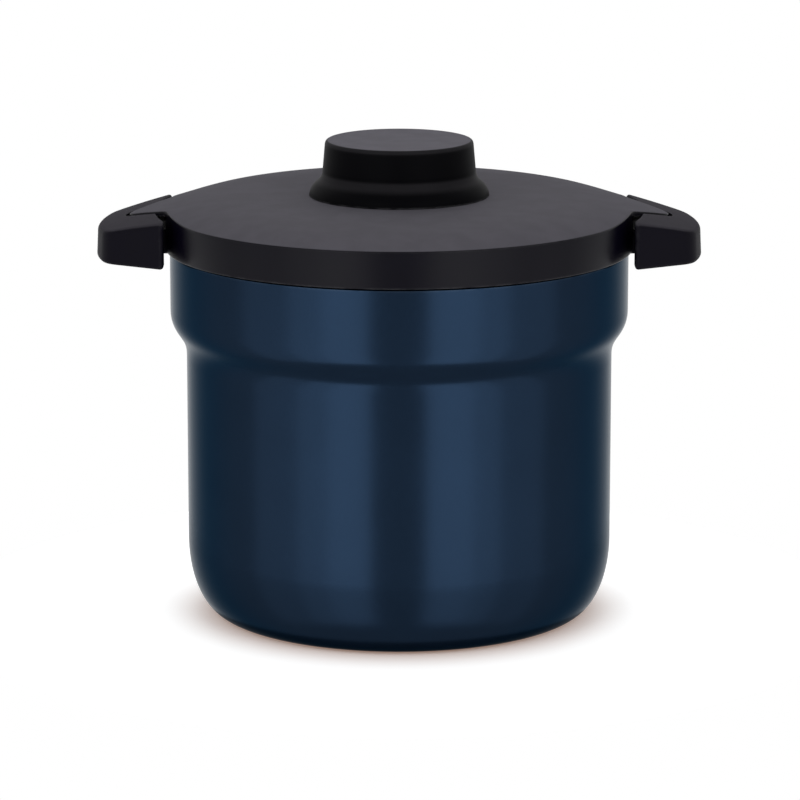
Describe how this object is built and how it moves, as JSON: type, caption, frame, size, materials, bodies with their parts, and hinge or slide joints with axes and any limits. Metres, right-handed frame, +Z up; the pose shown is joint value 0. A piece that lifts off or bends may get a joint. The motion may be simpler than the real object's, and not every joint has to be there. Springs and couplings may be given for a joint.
{
  "type": "thermal cooker",
  "caption": "Vacuum-insulated thermal cooker: a navy container with a stepped wall and side handles holds a stewing pot with a glass lid under an insulated black outer lid.",
  "frame": {"origin": "centre of the underside of the foot ring, on the container's axis", "axes": "+Z up along the container's axis, +X out through the right handle, +Y to the back"},
  "size_m": [0.3148, 0.244, 0.2502],
  "materials": {
    "navy_paint": "satin",
    "liner_steel": "satin",
    "brushed_steel": "satin",
    "black_resin": "matte",
    "seal_resin": "matte",
    "getter_metal": "matte",
    "foot_rubber": "matte",
    "handle_resin": "satin",
    "screw_steel": "satin",
    "pot_steel": "satin",
    "core_aluminium": "satin",
    "pot_handle_resin": "matte",
    "lid_glass": "gloss",
    "rim_steel": "gloss",
    "washer_rubber": "matte",
    "lid_resin": "satin",
    "lid_foam": "matte",
    "lid_liner_resin": "satin",
    "knob_resin": "satin"
  },
  "bodies": {
    "container": {"outer_shell": "navy_paint", "vacuum_liner": "liner_steel", "base_plate": "brushed_steel", "base_cover": "black_resin", "vacuum_seal": "seal_resin", "vacuum_getter": "getter_metal", "foot_ring": "foot_rubber", "mouth_collar": "black_resin", "right_handle": "handle_resin", "left_handle": "handle_resin", "right_handle_bracket": "brushed_steel", "left_handle_bracket": "brushed_steel", "handle_screws": "screw_steel"},
    "pot": {"pot_body": "pot_steel", "pot_base_core": "core_aluminium", "pot_base_cap": "pot_steel", "right_pot_handle": "pot_handle_resin", "left_pot_handle": "pot_handle_resin", "right_pot_bracket": "brushed_steel", "left_pot_bracket": "brushed_steel", "pot_handle_screws": "screw_steel"},
    "pot_lid": {"pot_lid_glass": "lid_glass", "pot_lid_rim": "rim_steel", "pot_lid_washer": "washer_rubber", "pot_lid_knob": "pot_handle_resin", "pot_lid_screw": "screw_steel", "steam_eyelet": "rim_steel"},
    "outer_lid": {"lid_cover": "lid_resin", "lid_insulation": "lid_foam", "lid_liner": "lid_liner_resin", "lid_knob": "knob_resin", "knob_screws": "screw_steel"}
  },
  "joints": [
    {"name": "pot_lift", "type": "slide", "parent": "container", "child": "pot", "axis": [0, 0, 1], "range_m": [0, 0.22]},
    {"name": "pot_lid_lift", "type": "slide", "parent": "pot", "child": "pot_lid", "axis": [0, 0, 1], "range_m": [0, 0.06]},
    {"name": "outer_lid_lift", "type": "slide", "parent": "pot_lid", "child": "outer_lid", "axis": [0, 0, 1], "range_m": [0, 0.08]}
  ]
}
